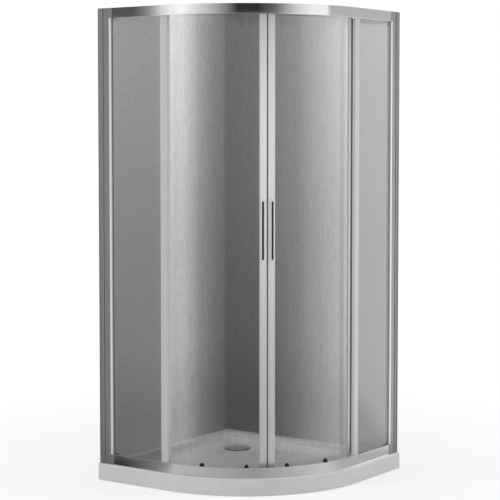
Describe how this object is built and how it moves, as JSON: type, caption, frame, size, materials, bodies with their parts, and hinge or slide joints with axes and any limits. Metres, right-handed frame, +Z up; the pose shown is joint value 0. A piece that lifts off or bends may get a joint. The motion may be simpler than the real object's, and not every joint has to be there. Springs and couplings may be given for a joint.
{
  "type": "quadrant shower enclosure",
  "caption": "Corner shower enclosure with a quarter-round front: fixed side panes, curved doors that roll in chrome rails, slim grips and a low tray with a round waste.",
  "frame": {"origin": "under the middle of the square plan, on the floor", "axes": "+Z up; the back wall lies at +Y and the side wall at -X, so the round front faces +X and -Y"},
  "size_m": [0.9, 0.9, 1.918],
  "materials": {
    "acrylic": "glossy white cast acrylic",
    "rail_chrome": "polished chrome plate",
    "satin_aluminium": "satin anodised",
    "bright_aluminium": "bright anodised",
    "grey_plastic": "moulded grey",
    "black_plastic": "moulded black",
    "white_nylon": "turned nylon",
    "seal_rubber": "soft grey seal",
    "magnet_strip": "flexible magnetic strip",
    "textured_glass": "grey tinted textured safety glass",
    "steel": "stainless",
    "chrome_trim": "polished chrome plate"
  },
  "bodies": {
    "enclosure": {"shower_tray": "acrylic", "waste_gasket": "seal_rubber", "waste_flange": "steel", "waste_body": "grey_plastic", "top_rail": "rail_chrome", "bottom_rail": "rail_chrome", "wall_profile_left": "satin_aluminium", "jamb_left": "satin_aluminium", "profile_cap_left": "grey_plastic", "jamb_screws_left": "steel", "fixed_glass_left": "textured_glass", "glazing_bead_left": "bright_aluminium", "glazing_gasket_left": "seal_rubber", "edge_profile_left": "bright_aluminium", "edge_seal_left": "seal_rubber", "corner_top_left": "satin_aluminium", "corner_bottom_left": "satin_aluminium", "door_stop_left": "seal_rubber", "wall_profile_right": "satin_aluminium", "jamb_right": "satin_aluminium", "profile_cap_right": "grey_plastic", "jamb_screws_right": "steel", "fixed_glass_right": "textured_glass", "glazing_bead_right": "bright_aluminium", "glazing_gasket_right": "seal_rubber", "edge_profile_right": "bright_aluminium", "edge_seal_right": "seal_rubber", "corner_top_right": "satin_aluminium", "corner_bottom_right": "satin_aluminium", "door_stop_right": "seal_rubber"},
    "left_door": {"door_glass_left": "textured_glass", "meeting_stile_left": "bright_aluminium", "magnet_seal_left": "magnet_strip", "outer_stile_left": "bright_aluminium", "wiper_seal_left": "seal_rubber", "handle_left": "chrome_trim", "handle_insert_left": "black_plastic", "top_axles_left": "steel", "roller_arms_left": "black_plastic", "arm_bolts_left": "chrome_trim"},
    "right_door": {"door_glass_right": "textured_glass", "meeting_stile_right": "bright_aluminium", "magnet_seal_right": "magnet_strip", "outer_stile_right": "bright_aluminium", "wiper_seal_right": "seal_rubber", "handle_right": "chrome_trim", "handle_insert_right": "black_plastic", "top_axles_right": "steel", "roller_arms_right": "black_plastic", "arm_bolts_right": "chrome_trim"},
    "waste_cover": {"waste_cover": "chrome_trim"},
    "top_wheel_left_inner": {"top_wheel_left_inner": "white_nylon"},
    "top_wheel_left_outer": {"top_wheel_left_outer": "white_nylon"},
    "bottom_wheel_left_inner": {"bottom_wheel_left_inner": "white_nylon"},
    "bottom_wheel_left_outer": {"bottom_wheel_left_outer": "white_nylon"},
    "top_wheel_right_inner": {"top_wheel_right_inner": "white_nylon"},
    "top_wheel_right_outer": {"top_wheel_right_outer": "white_nylon"},
    "bottom_wheel_right_inner": {"bottom_wheel_right_inner": "white_nylon"},
    "bottom_wheel_right_outer": {"bottom_wheel_right_outer": "white_nylon"}
  },
  "joints": [
    {"name": "left_door_travel", "type": "hinge", "parent": "enclosure", "child": "left_door", "pos_m": [-0.11278, 0.11222, 0.993], "axis": [0, 0, -1], "range_deg": [0, 24]},
    {"name": "top_wheel_left_inner_spin", "type": "hinge", "parent": "left_door", "child": "top_wheel_left_inner", "pos_m": [0.1979, -0.31764, 1.8993], "axis": [0.5807, -0.8141, 0], "range_deg": [0, 1290]},
    {"name": "top_wheel_left_outer_spin", "type": "hinge", "parent": "left_door", "child": "top_wheel_left_outer", "pos_m": [0.02845, -0.39666, 1.8993], "axis": [0.2504, -0.9681, 0], "range_deg": [0, 1280]},
    {"name": "bottom_wheel_left_inner_spin", "type": "hinge", "parent": "left_door", "child": "bottom_wheel_left_inner", "pos_m": [0.1979, -0.31764, 0.0793], "axis": [0.5807, -0.8141, 0], "range_deg": [0, 1430]},
    {"name": "bottom_wheel_left_outer_spin", "type": "hinge", "parent": "left_door", "child": "bottom_wheel_left_outer", "pos_m": [0.02845, -0.39666, 0.0793], "axis": [0.2504, -0.9681, 0], "range_deg": [0, 1420]},
    {"name": "right_door_travel", "type": "hinge", "parent": "enclosure", "child": "right_door", "pos_m": [-0.11222, 0.11278, 0.993], "axis": [0, 0, 1], "range_deg": [0, 24]},
    {"name": "top_wheel_right_inner_spin", "type": "hinge", "parent": "right_door", "child": "top_wheel_right_inner", "pos_m": [0.31764, -0.1979, 1.8993], "axis": [-0.8141, 0.5807, 0], "range_deg": [0, 1290]},
    {"name": "top_wheel_right_outer_spin", "type": "hinge", "parent": "right_door", "child": "top_wheel_right_outer", "pos_m": [0.39666, -0.02845, 1.8993], "axis": [-0.9681, 0.2504, 0], "range_deg": [0, 1280]},
    {"name": "bottom_wheel_right_inner_spin", "type": "hinge", "parent": "right_door", "child": "bottom_wheel_right_inner", "pos_m": [0.31764, -0.1979, 0.0793], "axis": [-0.8141, 0.5807, 0], "range_deg": [0, 1430]},
    {"name": "bottom_wheel_right_outer_spin", "type": "hinge", "parent": "right_door", "child": "bottom_wheel_right_outer", "pos_m": [0.39666, -0.02845, 0.0793], "axis": [-0.9681, 0.2504, 0], "range_deg": [0, 1420]},
    {"name": "waste_cover_lift", "type": "slide", "parent": "enclosure", "child": "waste_cover", "axis": [0, 0, 1], "range_m": [0, 0.05]}
  ],
  "couplings": [
    {"joint": "top_wheel_left_inner_spin", "follows": "left_door_travel", "ratio": 53.038},
    {"joint": "top_wheel_left_outer_spin", "follows": "left_door_travel", "ratio": 52.811},
    {"joint": "bottom_wheel_left_inner_spin", "follows": "left_door_travel", "ratio": 58.931},
    {"joint": "bottom_wheel_left_outer_spin", "follows": "left_door_travel", "ratio": 58.679},
    {"joint": "top_wheel_right_inner_spin", "follows": "right_door_travel", "ratio": 53.038},
    {"joint": "top_wheel_right_outer_spin", "follows": "right_door_travel", "ratio": 52.811},
    {"joint": "bottom_wheel_right_inner_spin", "follows": "right_door_travel", "ratio": 58.931},
    {"joint": "bottom_wheel_right_outer_spin", "follows": "right_door_travel", "ratio": 58.679}
  ]
}
